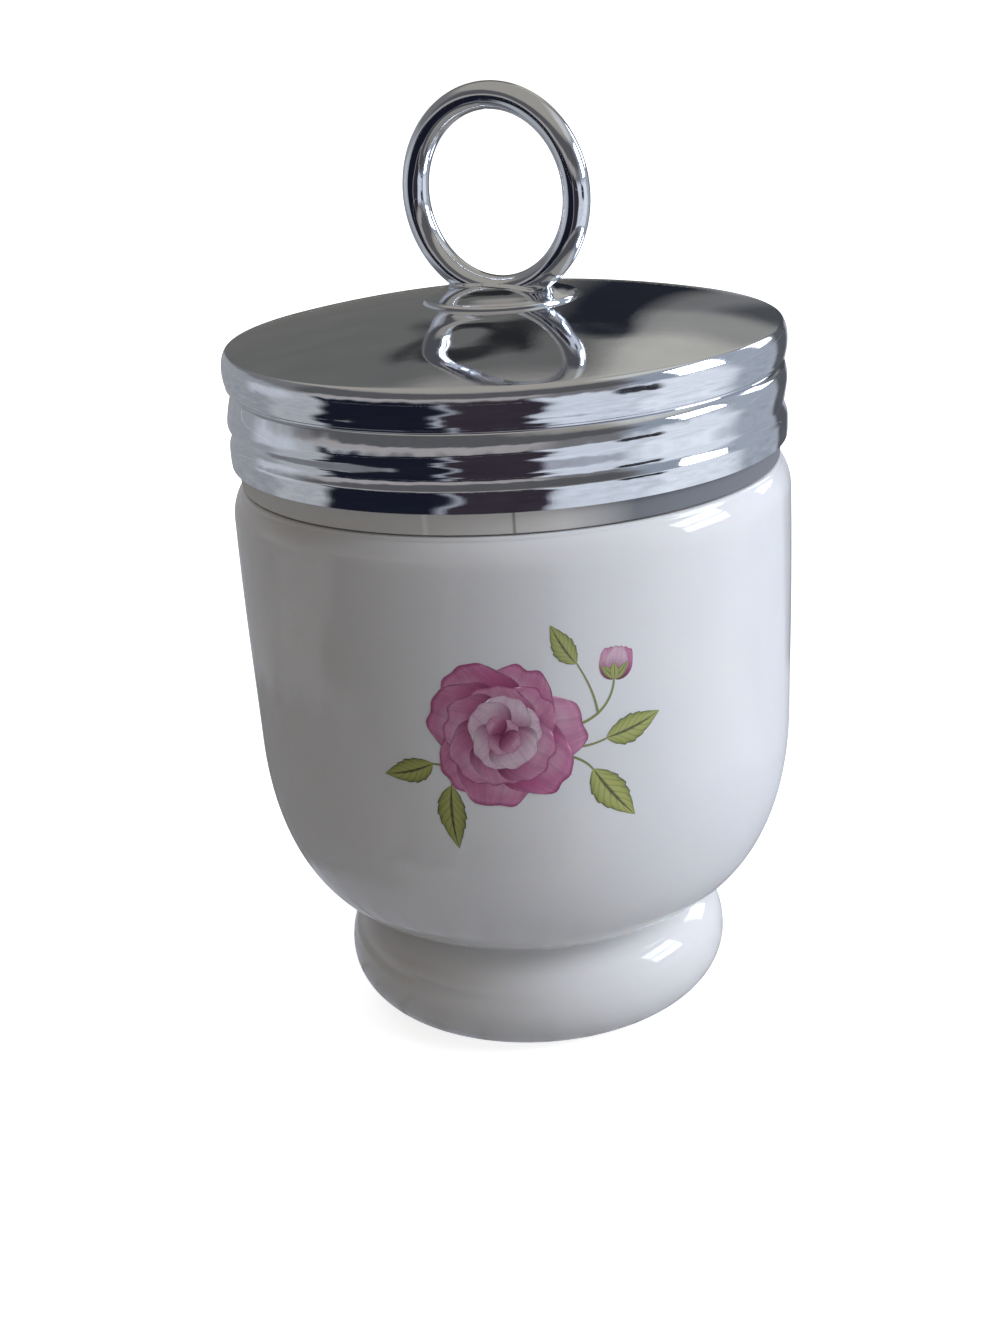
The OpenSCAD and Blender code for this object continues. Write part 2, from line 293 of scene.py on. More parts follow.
def cupProfile():
    # the whole section, from the axis below the foot round to the axis on the floor of the cavity
    c = cup
    hollow = c["standRadius"] - c["standWidth"]
    top = c["hollowHeight"]
    corner = (hollow - 0.8, top - 1.4)
    under = np.concatenate([
        [(0, top)],
        curveThrough((0, top), (hollow * 0.6, top), (hollow - 1.4, top - 0.2), corner, 10),
        curveThrough(corner, (hollow - 0.5, 0.7), (hollow - 0.4, 0.1), (hollow, 0), 6),
    ])
    ledge = c["shoulderHeight"]
    neck = c["neckRadius"]
    bore = neck - c["neckWall"]
    lip = c["neckWall"] / 2
    cavityTop = c["bodyRadius"] - c["wall"]
    cavity = c["sideRadius"] - c["wall"]
    side = c["sideHeight"]
    floor = c["floorHeight"]
    edge = c["edgeRound"]
    boreTop = (bore, ledge + 1.5)
    widened = (cavityTop, ledge - 7)
    sideLow = (cavity, side + 1)
    rest = np.concatenate([
        arcAbout((c["shoulderRadius"] - edge, ledge - edge), edge, 0, 90, 5),
        [(neck + 0.4, ledge)],
        arcAbout((neck + 0.4, ledge + 0.4), 0.4, 270, 180, 5),
        lineTo((neck, ledge + 0.4), (neck, c["lipHeight"] - lip), 66),
        arcAbout((neck - lip, c["lipHeight"] - lip), lip, 0, 180, 14),
        [boreTop],
        curveThrough(boreTop, (bore, ledge - 1.5), (cavityTop, ledge - 3), widened, 12),
        curveThrough(widened, (cavityTop, side + 12), (cavity, side + 6), sideLow, 10),
        curveThrough(sideLow, (cavity - 0.6, side - 11), (cavity - 9, floor), (0, floor), 28),
    ])
    return np.concatenate([under, cupOutside(), rest])


def glazedPorcelain():
    # hard-paste porcelain, slip-cast and dipped in clear glaze: cool white, a mirror-like skin that is a
    # little wavy, and a greyer white on the foot, below the waist
    material = newMaterial("glazedPorcelain")
    tree = material.node_tree
    place = objectPlace(tree)
    split = addNode(tree, "ShaderNodeSeparateXYZ", {0: place})
    # the foot, below the waist, gets a greyer white
    aboveGreyerFoot = ranged(tree, split.outputs["Z"], (0.0104, 0.0128), (0.0, 1.0), smooth=True)
    cloud = noise(tree, place, 18, 3.0, Roughness=0.5)  # the white drifts over 18 mm
    white = ramp(tree, cloud, [(0.3, "#EAEBEE"), (0.7, "#F0F0F0")])
    ripple = noise(tree, place, 7, 2.0)  # 7 mm ripples left by the dip
    pin = addNode(tree, "ShaderNodeTexVoronoi", {0: place, "Scale": 1 / (5 * mm)})  # a pinhole every 5 mm
    hole = ranged(tree, pin.outputs["Distance"], (0.0, 0.03), (-0.2, 0.0))
    height = maths(tree, "ADD", ripple, hole)
    return finishMaterial(material, "ShaderNodeBsdfPrincipled", {
        "Base Color": blended(tree, aboveGreyerFoot, toLinear("#E7E7E7"), white),
        "Roughness": 0.045, "IOR": 1.5,
        "Subsurface Weight": 0.12, "Subsurface Scale": 1.2 * mm,
        "Normal": bumped(tree, height, 0.3, 0.03),
    })


def makeCup():
    profile = cupProfile()
    angles = np.arange(turnSteps) * 360 / turnSteps
    ridge = helixBump(angles, profile[:, 1], cup["ridgeStart"], cup["ridgeTurns"], cup["ridgeHeight"],
                      cup["ridgeWidth"], cup["ridgeFade"])
    onNeck = (np.abs(profile[:, 0] - cup["neckRadius"]) < 0.01)[:, None]
    radii = profile[:, :1] + ridge * onNeck * cup["ridgeProud"]
    piece = gridObject("porcelainCup", turned(radii, profile[:, 1:]))
    dress(piece, glazedPorcelain(), "cup", ["cup"])
    print("cup:", len(piece.data.vertices), "points")


makeCup()


# ---- pressed metal lid ----

lid = {
    "holeRadius": 1.55, "landRadius": 8.0, "rimHeight": 72.45, "rimRadius": 28.0, "domeRise": 3.4,
    "dents": [
        {"at": (-2.9, -12.5), "reach": (2.8, 2.4), "height": 0.2},
        {"at": (-4.6, -18.5), "reach": (2.8, 2.6), "height": -0.13},
        {"at": (9.0, -14.0), "reach": (3.0, 3.0), "height": -0.06},
    ],
    "dentsBegin": (8.2, 11), "dentsEnd": (22, 26),  # radii between which they fade in and out
    "domeEdge": 27.9, "tightRound": 0.35, "slackRound": 2.3,  # the two rounds of the rim's corner
    "domeNormal": 76.3, "cornerNormal": 33, "lineNormal": 10, "beadLowNormal": -16, "beadRound": 5.0,
    "creaseHeight": 69.0, "grooveRadius": 27.75, "shoulderTop": 68.3,
    "ridgeRadius": 28.43, "ridgeFront": 66.45,  # height of the rolled ridge's line at the front
    "valleyRadius": 28.1, "valleyHeight": 64.4, "flankRadius": 28.38, "flankHeight": 63.2,
    "lowBeadRadius": 28.44, "lowBeadHeight": 62.2,
    "stepRadius": 28.38, "stepHeight": 61.04, "hemTop": 27.78, "hemBottom": 27.6, "hemHeight": 58.85,
    "sheet": 0.45, "wallInside": 27.55,
    "beadStart": 190, "beadTurns": 0.8, "beadHeight": 63.51, "beadProud": 1.15, "beadWidth": 1.7,
}


def domeHeight(radius):
    # flat below the boss
    rise = 1 - (np.maximum(radius, lid["landRadius"]) / lid["rimRadius"]) ** 2
    return lid["rimHeight"] + lid["domeRise"] * rise


def dented(points):
    # shallow dents in the dome, which bend what it mirrors
    radius = np.hypot(points[..., 0], points[..., 1])
    onTop = smoothStep(radius, *lid["dentsBegin"]) * (1 - smoothStep(radius, *lid["dentsEnd"]))
    for dent in lid["dents"]:
        across = (points[..., 0] - dent["at"][0]) / dent["reach"][0]
        along = (points[..., 1] - dent["at"][1]) / dent["reach"][1]
        points[..., 2] += dent["height"] * np.exp(-(across**2 + along**2)) * onTop
    return points


def roundFrom(point, radius, fromNormal, toNormal, count):
    # goes on from point along a round whose outward normal turns between two elevations
    n = np.radians(fromNormal + (toNormal - fromNormal) * (np.arange(count) + 1) / count)
    first = math.radians(fromNormal)
    return np.stack([point[0] + radius * (np.cos(n) - math.cos(first)),
                     point[1] + radius * (np.sin(n) - math.sin(first))], 1)


def lidOutline(azimuth):
    # outer outline of the sheet at an azimuth from the front, from the hole down to the hem; bare
    # numbers here set handles of the curves and the small steps between the beads
    d = lid
    edge = (d["domeEdge"], float(domeHeight(d["domeEdge"])))
    top = [(d["holeRadius"], float(domeHeight(0.0)))]
    for radius in np.linspace(3, d["domeEdge"], 64):
        top.append((radius, float(domeHeight(radius))))
    tight = roundFrom(edge, d["tightRound"], d["domeNormal"], d["cornerNormal"], 8)
    slack = roundFrom(tight[-1], d["slackRound"], d["cornerNormal"], d["lineNormal"], 10)
    bead = roundFrom(slack[-1], d["beadRound"], d["lineNormal"], d["beadLowNormal"], 14)
    crease = d["creaseHeight"]
    groove = d["grooveRadius"]
    # the rolled ridge climbs round the lid, and runs out at the back
    seam = smoothStep(abs(azimuth), 158, 180)
    line = d["ridgeFront"] + cup["pitch"] * azimuth / 360 * (1 - seam)
    ridge = d["ridgeRadius"] - 0.2 * seam
    shoulder = (groove + 0.1, d["shoulderTop"])
    towardsLine = (ridge - 0.174, line + 0.985)
    wallTop = (ridge + 0.02, line - 0.35)
    valley = (d["valleyRadius"], d["valleyHeight"])
    flank = (d["flankRadius"], d["flankHeight"])
    bulge = (d["lowBeadRadius"], d["lowBeadHeight"])
    step = (d["stepRadius"], d["stepHeight"])
    hem = (d["hemTop"], step[1] - 0.12)
    return np.concatenate([
        top, tight, slack, bead,
        [(bead[-1][0] - 0.03, crease), (groove + 0.05, crease - 0.03), (groove, crease - 0.08)],
        [(groove, 68.62), (groove + 0.07, 68.56), (groove + 0.07, 68.42), (groove + 0.02, 68.36)],
        [shoulder],
        curveThrough(shoulder, towardsLine, towardsLine, (ridge, line), 18),
        lineTo((ridge, line), wallTop, 2),
        curveThrough(wallTop, (wallTop[0], wallTop[1] - 0.6),
                     (valley[0] + 0.08, valley[1] + 0.6), valley, 14),
        curveThrough(valley, (valley[0], valley[1] - 0.5), (flank[0] - 0.1, flank[1] + 0.25), flank, 8),
        curveThrough(flank, (flank[0] + 0.05, flank[1] - 0.15), (bulge[0], bulge[1] + 0.6), bulge, 6),
        curveThrough(bulge, (bulge[0], bulge[1] - 0.5), (step[0] + 0.03, step[1] + 0.4), step, 5),
        [(step[0] - 0.06, step[1] - 0.05), (hem[0] + 0.05, step[1] - 0.07), hem],
        lineTo(hem, (d["hemBottom"], d["hemHeight"] + 0.05), 8),
        [(d["hemBottom"] - 0.05, d["hemHeight"])],
    ])


def lidInside():
    d = lid
    inner = d["hemBottom"] - d["sheet"]
    wall = d["wallInside"]
    outer = d["lowBeadRadius"] - d["sheet"]
    rim = d["domeEdge"] - 0.5
    return np.concatenate([
        [(inner + 0.05, d["hemHeight"])],
        lineTo((inner, d["hemHeight"] + 0.05), (inner + 0.1, d["stepHeight"] + 0.35), 4),
        curveThrough((inner + 0.1, d["stepHeight"] + 0.35), (outer, d["stepHeight"] + 0.4),
                     (outer, d["stepHeight"] + 1.2), (wall, d["valleyHeight"] - 0.9), 8),
        lineTo((wall, d["valleyHeight"] - 0.9), (wall, d["creaseHeight"] - 0.9), 34),
        [(wall - 0.15, d["creaseHeight"] - 0.6), (wall - 0.15, d["creaseHeight"])],
        curveThrough((wall - 0.15, d["creaseHeight"]), (outer, d["creaseHeight"] + 0.8),
                     (outer + 0.1, d["rimHeight"] - 0.9), (rim, float(domeHeight(rim)) - d["sheet"]), 12),
        [(r, float(domeHeight(r)) - d["sheet"]) for r in np.linspace(rim - 1, d["holeRadius"], 20)],
    ])


# tone of the hem over the front 120 degrees as 0 to 1: plain plate, two upright marks, and painted shade
# that grows towards the right
hemMarksAndPaintedShade = [
    (0.352, "#E2E0DC"), (0.358, "#FAFAF8"), (0.364, "#E2E0DC"),
    (0.497, "#E2E0DC"), (0.5, "#96938E"), (0.503, "#E2E0DC"),
    (0.58, "#E2E0DC"), (0.7, "#7E8086"),
]


def platedSheet():
    # pressed steel, nickel and chrome plated: a bright cool mirror with slight orange peel, faint draw
    # lines round the skirt, thin smears, and a duller hem that the polishing wheel didn't reach, with shade
    # painted on its right part
    material = newMaterial("chromePlatedPressing")
    tree = material.node_tree
    place = objectPlace(tree)
    split = addNode(tree, "ShaderNodeSeparateXYZ", {0: place})
    hemEdge = ((lid["stepHeight"] - 0.1) * mm, (lid["stepHeight"] - 0.02) * mm)
    hem = ranged(tree, split.outputs["Z"], hemEdge, (1.0, 0.0))
    smear = noise(tree, place, 9, 6.0, Roughness=0.65, Distortion=1.2)  # 9 mm smears
    film = ranged(tree, smear, (0.45, 0.75), (0.035, 0.13))
    peel = noise(tree, place, 0.9, 3.0, Roughness=0.6)  # 0.9 mm orange peel
    tall = vectorMaths(tree, "MULTIPLY", place, (0.06, 0.06, 1.0))
    draw = noise(tree, tall, 0.5, 2.0)  # draw lines, drawn at 0.5 mm so that they show
    relief = maths(tree, "MULTIPLY_ADD", draw, 0.35, peel)
    towardsFront = maths(tree, "MULTIPLY", split.outputs["Y"], -1.0)
    turn = maths(tree, "ARCTAN2", split.outputs["X"], towardsFront)
    front = ranged(tree, turn, (math.radians(-60), math.radians(60)), (0.0, 1.0))
    return finishMaterial(material, "ShaderNodeBsdfPrincipled", {
        # the hem's colour carries painted shade towards the right
        "Base Color": blended(tree, hem, toLinear("#E2E4EA"), ramp(tree, front, hemMarksAndPaintedShade)),
        "Roughness": maths(tree, "MULTIPLY_ADD", hem, 0.6, film),
        "Metallic": maths(tree, "MULTIPLY_ADD", hem, -0.78, 1.0),  # a dull film scatters the hem's light
        "Normal": bumped(tree, relief, 0.25, 0.012),
    })


def makeLid():
    angles = np.arange(turnSteps) * 360 / turnSteps
    azimuths = [(360 * k / turnSteps - 270 + 180) % 360 - 180 for k in range(turnSteps)]
    outlines = np.stack([lidOutline(azimuth) for azimuth in azimuths], 1)
    inside = lidInside()
    bead = helixBump(angles, inside[:, 1], lid["beadStart"], lid["beadTurns"], lid["beadHeight"],
                     lid["beadWidth"], cup["ridgeFade"])
    onWall = (np.abs(inside[:, 0] - lid["wallInside"]) < 0.01)[:, None]
    inner = turned(inside[:, :1] - bead * onWall * lid["beadProud"], inside[:, 1:])
    outer = dented(turned(outlines[:, :, 0], outlines[:, :, 1]))
    piece = gridObject("pressedLid", np.concatenate([outer, inner]), closeAlong=True, flip=True)
    dress(piece, platedSheet(), "lid", ["lid_shell"])
    print("lid:", len(piece.data.vertices), "points")


makeLid()


# ---- lifting ring and its boss ----

ring = {
    "radius": 9.42, "wire": 1.36, "turn": -33, "centre": 85.9, "flat": 76.07,
    "seamAngle": 93, "seamWidth": 1.1, "seamDepth": 0.09,  # the butt joint inside the top, in degrees
    "wireColumns": 200, "wireRows": 48,
    "bossRadius": 7.85, "landHeight": 75.57, "bossRise": 1.45,
    "edgeRise": 0.22, "edgeLean": 0.07, "crownStart": 0.68,
    "filletReach": 5.5, "filletRise": 0.5, "filletLength": 0.75, "filletWidth": 1.0,
    "brazeRise": 0.28, "brazeWidth": 0.35,
}


def platedWire(name, smearSize):
    # drawn wire, bent, brazed and chrome plated: a clear mirror with a few thin smears along it
    material = newMaterial(name)
    tree = material.node_tree
    place = objectPlace(tree)
    smear = noise(tree, place, smearSize, 5.0, Distortion=0.8)
    peel = noise(tree, place, 1.1, 3.0)  # 1.1 mm orange peel
    return finishMaterial(material, "ShaderNodeBsdfPrincipled", {
        "Base Color": toLinear("#DFE1E7"), "Metallic": 1.0,
        "Roughness": ranged(tree, smear, (0.45, 0.8), (0.04, 0.12)),
        "Normal": bumped(tree, peel, 0.25, 0.012),
    })


def makeRing():
    r = ring
    around = np.arange(r["wireColumns"]) * 2 * math.pi / r["wireColumns"]
    section = np.arange(r["wireRows"]) * 2 * math.pi / r["wireRows"]
    a, s = np.meshgrid(around, section, indexing="ij")
    seam = np.exp(-((np.degrees(a) - r["seamAngle"]) / r["seamWidth"]) ** 2) * np.clip(-np.cos(s), 0, 1)
    wire = r["wire"] - seam * r["seamDepth"]
    along = (r["radius"] + wire * np.cos(s)) * np.cos(a)
    height = r["centre"] + (r["radius"] + wire * np.cos(s)) * np.sin(a)
    across = wire * np.sin(s)
    turn = math.radians(r["turn"])
    x = along * math.cos(turn) - across * math.sin(turn)
    y = along * math.sin(turn) + across * math.cos(turn)
    grid = np.stack([x, y, np.maximum(height, r["flat"])], -1)
    piece = gridObject("liftingRing", grid, closeAlong=True)
    dress(piece, platedWire("chromePlatedWire", 6), "lid", ["ring_handle"])
    print("ring:", len(piece.data.vertices), "points")


def bossProfile():
    # radius and height of the boss over its landing: a steep edge, a round shoulder, then a low crown
    r = ring
    foot = (r["bossRadius"], 0)
    edge = (r["bossRadius"] - r["edgeLean"], r["edgeRise"])
    crown = (r["bossRadius"] - 1.1, r["crownStart"])
    top = (0, r["bossRise"])
    return np.concatenate([
        [foot],
        lineTo(foot, edge, 4),
        curveThrough(edge, (edge[0] - 0.08, edge[1] + 0.24), (crown[0] + 0.5, crown[1] - 0.13), crown, 10),
        curveThrough(crown, (crown[0] - 1.1, crown[1] + 0.29), (crown[0] - 2.5, top[1]), top, 30),
    ])


def makeBoss():
    r = ring
    profile = bossProfile()
    angles = np.radians(np.arange(turnSteps) * 360 / turnSteps)[None, :] - math.radians(r["turn"])
    along = np.abs(profile[:, :1] * np.cos(angles))
    across = np.abs(profile[:, :1] * np.sin(angles))
    # brazing runs up beside the wire and fills the corner where each leg leaves the boss
    toe = np.exp(-((along - r["filletReach"]) / r["filletLength"]) ** 2 - (across / r["filletWidth"]) ** 2)
    beside = np.exp(-((across - r["wire"] - 0.1) / r["brazeWidth"]) ** 2)
    beside *= 1 - smoothStep(along, 4.6, 5.6)
    inside = smoothStep(r["bossRadius"] - profile[:, :1], 0.4, 1.4)
    heights = profile[:, 1:] + (r["filletRise"] * toe + r["brazeRise"] * beside) * inside
    top = turned(profile[:, :1], r["landHeight"] + heights)
    base = turned(np.array([[0.0], [r["bossRadius"]]]), np.array([[r["landHeight"]], [r["landHeight"]]]))
    piece = gridObject("ringBoss", np.concatenate([base, top]))
    dress(piece, platedWire("chromePlatedBoss", 4), "lid", ["ring_base"])
    print("boss:", len(piece.data.vertices), "points")


makeRing()
makeBoss()


# ---- rivet and washer inside the lid, carried from the frame ----

def tumbledSteel(name, colour, grain):
    # cold-headed steel, tumbled: grey and satin, with a fine grain of small dents
    material = newMaterial(name)
    tree = material.node_tree
    dents = noise(tree, objectPlace(tree), grain, 4.0)
    return finishMaterial(material, "ShaderNodeBsdfPrincipled", {
        "Base Color": toLinear(colour), "Metallic": 1.0,
        "Roughness": ranged(tree, dents, (0.3, 0.7), (0.24, 0.42)),
        "Normal": bumped(tree, dents, 0.3, 0.02),
    })


def dressCarried():
    for node, colour, grain in (("rivet", "#A9A9AB", 0.5), ("rivet_washer", "#B5B5B6", 0.7)):
        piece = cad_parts[node]
        piece.data.materials.clear()
        piece.data.materials.append(tumbledSteel("tumbledSteel_" + node, colour, grain))
    print("rivet and washer dressed")


dressCarried()


# ---- printed blossom on the front ----

blossom = {
    "lift": 0.02, "layerLift": 0.004,  # thickness of the print and of each layer over it
    "centre": (-2.2, 39.6),  # millimetres along the front from its middle, and height
    "petalRows": [
        # from the outside in: how pale, and the angle of the first petal
        {"count": 7, "length": 7.7, "width": 4.1, "tone": 0.0, "turn": 12},
        {"count": 6, "length": 5.7, "width": 3.3, "tone": 0.1, "turn": 38},
        {"count": 5, "length": 3.9, "width": 2.5, "tone": 0.8, "turn": 8},
        {"count": 4, "length": 1.9, "width": 1.2, "tone": 0.25, "turn": 50},
    ],
    "bud": (8.6, 44.2), "budLength": 3.3, "budWidth": 1.2,
    "waistPoints": 39,  # points of the body's outline below the waist
    # tones from a petal's base to its rim, deep and pale, and from a leaf's midrib to its edge
    "rose": [(0.0, "#73294C"), (0.38, "#9A406D"), (0.7, "#C06694"), (0.93, "#CE82A9"), (1.0, "#A84D7B")],
    "paleRose": [(0.0, "#8C4468"), (0.35, "#C490AC"), (0.75, "#E6D3DD"), (0.95, "#E3C6D5"),
                 (1.0, "#B9789B")],
    "olive": [(0.0, "#4E5440"), (0.03, "#767C4E"), (0.08, "#B8BC74"), (0.3, "#AFB46A"),
              (0.43, "#99A05E"), (0.5, "#555A44")],
}

bodyOutline = cupOutside()


def ontoCup(points, lift):
    # points given along the front and up, laid on the body with a lift along its normal
    radii, rises = bodyOutline[blossom["waistPoints"]:].T
    radius = np.interp(points[..., 1], rises, radii)
    slope = (np.interp(points[..., 1] + 0.1, rises, radii) - radius) / 0.1
    lean = 1 / np.sqrt(1 + slope**2)
    around = points[..., 0] / cup["bodyRadius"]
    out = radius + lift * lean
    return np.stack([out * np.sin(around), -out * np.cos(around), points[..., 1] - lift * slope * lean], -1)


def printPiece(name, patches, material):
    # patches are grids of points on the print with a height in layers and a tone for each
    verts = []
    faces = []
    across = []
    tones = []
    for points, layer, tone in patches:
        rows, columns = points.shape[:2]
        base = sum(len(v) for v in verts)
        verts.append(ontoCup(points, blossom["lift"] + blossom["layerLift"] * layer).reshape(-1, 3) * mm)
        s, t = np.meshgrid(np.linspace(0, 1, columns), np.linspace(0, 1, rows))
        across.append(np.stack([s, t], -1).reshape(-1, 2))
        tones.append(np.full(rows * columns, tone))
        for i in range(rows - 1):
            for j in range(columns - 1):
                k = base + i * columns + j
                faces.append((k, k + 1, k + columns + 1, k + columns))
    mesh = bpy.data.meshes.new(name)
    mesh.from_pydata(np.concatenate(verts).tolist(), [], faces)
    layerUv = mesh.uv_layers.new(name="print")
    corners = np.array([loop.vertex_index for loop in mesh.loops])
    layerUv.data.foreach_set("uv", np.concatenate(across)[corners].ravel())
    toneValues = mesh.attributes.new("tone", "FLOAT", "POINT")
    toneValues.data.foreach_set("value", np.concatenate(tones))
    mesh.shade_smooth()
    piece = bpy.data.objects.new(name, mesh)
    bpy.context.scene.collection.objects.link(piece)
    dress(piece, material, "cup")


def petal(centre, angle, length, width, notch=0.04, bend=0.0, rows=18, columns=17):
    # a broad, round petal with a slightly scalloped rim, from its base at centre
    t = np.linspace(0, 1, rows)[:, None]
    s = np.linspace(-1, 1, columns)[None, :]
    half = width * np.sqrt(np.clip(1 - ((t - 0.6) / 0.62) ** 2, 0, 1))
    crown = 1 - 0.42 * (1 - np.sqrt(np.clip(1 - (s * 0.97) ** 2, 0, 1)))
    rim = 1 - notch * np.exp(-(s / 0.3) ** 2) + 0.015 * np.sin(9 * s + angle)
    reach = length * t * crown * (1 + (rim - 1) * t**3)
    side = s * half + bend * t**2 * length
    a = math.radians(angle)
    x = centre[0] + reach * math.cos(a) - side * math.sin(a)
    y = centre[1] + reach * math.sin(a) + side * math.cos(a)
    return np.stack([x, y], -1)


def leaf(base, angle, length, width, teeth=6, bend=0.15, rows=40, columns=9):
    # a pointed leaf with a toothed edge and a bent midrib
    t = np.linspace(0, 1, rows)[:, None]
    s = np.linspace(-1, 1, columns)[None, :]
    outline = np.sin(math.pi * t**0.85) ** 0.9 * (1 - 0.25 * t)
    tooth = 1 + 0.16 * ((t * teeth) % 1) * np.sin(math.pi * t)
    half = width * outline * tooth
    along = length * t
    side = s * half + bend * length * t**2
    a = math.radians(angle)
    x = base[0] + along * math.cos(a) - side * math.sin(a)
    y = base[1] + along * math.sin(a) + side * math.cos(a)
    return np.stack([x, y], -1)


def stem(a, b, c, d, width):
    path = np.concatenate([[a], curveThrough(a, b, c, d, 30)])
    along = np.gradient(path, axis=0)
    along /= np.linalg.norm(along, axis=1)[:, None]
    side = np.stack([-along[:, 1], along[:, 0]], 1)
    taper = width * (1 - 0.45 * np.linspace(0, 1, len(path)))[:, None] / 2
    return np.stack([path - side * taper, path, path + side * taper], 1)


def fromMiddle(tree, split):
    # how far across from the middle of the petal or leaf, 0 to 0.5
    return maths(tree, "ABSOLUTE", maths(tree, "SUBTRACT", split.outputs["X"], 0.5))


def printedPink():
    # ceramic colours screened on a transfer and fired into the glaze: deep rose where petals go under
    # each other, a soft pale touch on each, a thin darker rim, and the same gloss as the glaze
    material = newMaterial("firedRosePrint")
    tree = material.node_tree
    uv = addNode(tree, "ShaderNodeUVMap", uv_map="print").outputs[0]
    split = addNode(tree, "ShaderNodeSeparateXYZ", {0: uv})
    tone = addNode(tree, "ShaderNodeAttribute", attribute_name="tone").outputs["Fac"]
    deep = ramp(tree, split.outputs["Y"], blossom["rose"])
    pale = ramp(tree, split.outputs["Y"], blossom["paleRose"])
    # the pale touch, off the middle of the petal
    fromTouch = vectorMaths(tree, "SUBTRACT", uv, (0.6, 0.72, 0))
    distance = vectorMaths(tree, "LENGTH", vectorMaths(tree, "MULTIPLY", fromTouch, (1.0, 1.9, 0)))
    touch = ranged(tree, distance, (0.04, 0.36), (0.6, 0.0), smooth=True)
    touched = blended(tree, touch, blended(tree, tone, deep, pale), toLinear("#DDB2C8"))
    # veins along the petal, and a darker rim
    stretch = vectorMaths(tree, "MULTIPLY", uv, (14.0, 1.4, 1.0))
    vein = addNode(tree, "ShaderNodeTexNoise", {0: stretch, "Scale": 1.0, "Detail": 3.0}).outputs["Fac"]
    veinShade = ranged(tree, vein, (0.35, 0.62), (0.86, 1.05))
    rim = ranged(tree, fromMiddle(tree, split), (0.36, 0.5), (1.0, 0.74), smooth=True)
    streaked = scaled(tree, touched, maths(tree, "MULTIPLY", veinShade, rim))
    dots = noise(tree, objectPlace(tree), 0.16, 2.0)  # screen dots, drawn at 0.16 mm
    inked = scaled(tree, streaked, ranged(tree, dots, (0.3, 0.7), (0.94, 1.06)))
    gloss = {"Base Color": inked, "Roughness": 0.08, "IOR": 1.5}
    return finishMaterial(material, "ShaderNodeBsdfPrincipled", gloss)


def printedGreen():
    # the same fired colours in olive: a pale rib, darker side veins and a thin dark edge
    material = newMaterial("firedOlivePrint")
    tree = material.node_tree
    uv = addNode(tree, "ShaderNodeUVMap", uv_map="print").outputs[0]
    split = addNode(tree, "ShaderNodeSeparateXYZ", {0: uv})
    tone = addNode(tree, "ShaderNodeAttribute", attribute_name="tone").outputs["Fac"]
    away = fromMiddle(tree, split)
    blade = ramp(tree, away, blossom["olive"])
    # side veins slant from the rib towards the tip
    slant = maths(tree, "MULTIPLY_ADD", away, -0.55, split.outputs["Y"])
    ribs = maths(tree, "SINE", maths(tree, "MULTIPLY", slant, 46.0))
    ribShade = ranged(tree, ribs, (0.55, 1.0), (1.0, 0.72))
    inked = scaled(tree, blade, maths(tree, "MULTIPLY", ribShade, tone))
    gloss = {"Base Color": inked, "Roughness": 0.12, "IOR": 1.5}
    return finishMaterial(material, "ShaderNodeBsdfPrincipled", gloss)


def makeBlossom():
    b = blossom
    green = printedGreen()
    budAt = b["bud"]
    random = np.random.default_rng(7)
    petals = []
    for row in b["petalRows"]:
        for k in range(row["count"]):
            angle = row["turn"] + 360 * k / row["count"] + random.uniform(-7, 7)
            length = row["length"] * random.uniform(0.93, 1.05)
            x = b["centre"][0] + 0.3 * random.uniform(-1, 1)
            y = b["centre"][1] + 0.3 * random.uniform(-1, 1)
            width = row["width"] * random.uniform(0.94, 1.08)
            notch = random.uniform(0.02, 0.1)
            bend = random.uniform(-0.1, 0.1)
            tone = min(1.0, row["tone"] + random.uniform(0, 0.16))
            petals.append((petal((x, y), angle, length, width, notch, bend), len(petals) + 1, tone))
    for order, (angle, tone) in enumerate(((62, 0.1), (100, 0.3), (80, 0.75))):
        petals.append((petal(budAt, angle, b["budLength"], b["budWidth"], notch=0.03), order, tone))
    printPiece("printedBloom", petals, printedPink())
    leaves = [
        (leaf((-9.3, 36.6), 208, 5.4, 1.35, bend=-0.2), 0, 1.0),
        (leaf((-7.6, 34.4), 262, 6.6, 1.5, bend=0.18), 0, 0.93),
        (leaf((6.2, 35.4), 300, 6.8, 1.7, bend=0.12), 0, 1.04),
        (leaf((7.6, 38.4), 8, 5.8, 1.5, bend=0.16), 0, 0.98),
        (leaf((5.0, 46.2), 128, 4.6, 1.15, bend=-0.15), 0, 0.95),
        (leaf(budAt, 40, 2.1, 0.45, teeth=1), 4, 0.9),
        (leaf(budAt, 82, 1.7, 0.5, teeth=1), 5, 0.98),
        (leaf(budAt, 122, 2.0, 0.45, teeth=1), 4, 0.88),
    ]
    printPiece("printedLeaves", leaves, green)
    stems = [
        (stem((-2.0, 37.5), (-5.5, 36.4), (-7.5, 36.4), (-9.5, 36.6), 0.34), -1, 0.75),
        (stem((-5.0, 36.6), (-6.4, 36.2), (-7.4, 35.4), (-7.6, 34.2), 0.3), -1, 0.75),
        (stem((1.0, 38.0), (3.6, 37.2), (5.4, 36.8), (6.3, 35.2), 0.32), -1, 0.75),
        (stem((2.0, 38.4), (4.4, 37.6), (6.2, 37.8), (7.8, 38.4), 0.32), -1, 0.75),
        (stem((2.4, 40.0), (5.6, 39.6), (8.4, 41.2), (8.6, 44.4), 0.34), -1, 0.78),
        (stem((6.9, 40.9), (6.6, 43.2), (5.8, 44.8), (5.0, 46.3), 0.24), -1, 0.78),
    ]
    printPiece("printedStems", stems, green)
    print("blossom:", len(petals), "petals,", len(leaves), "leaves")


makeBlossom()


# ---- floor, lamps and what the metal mirrors ----

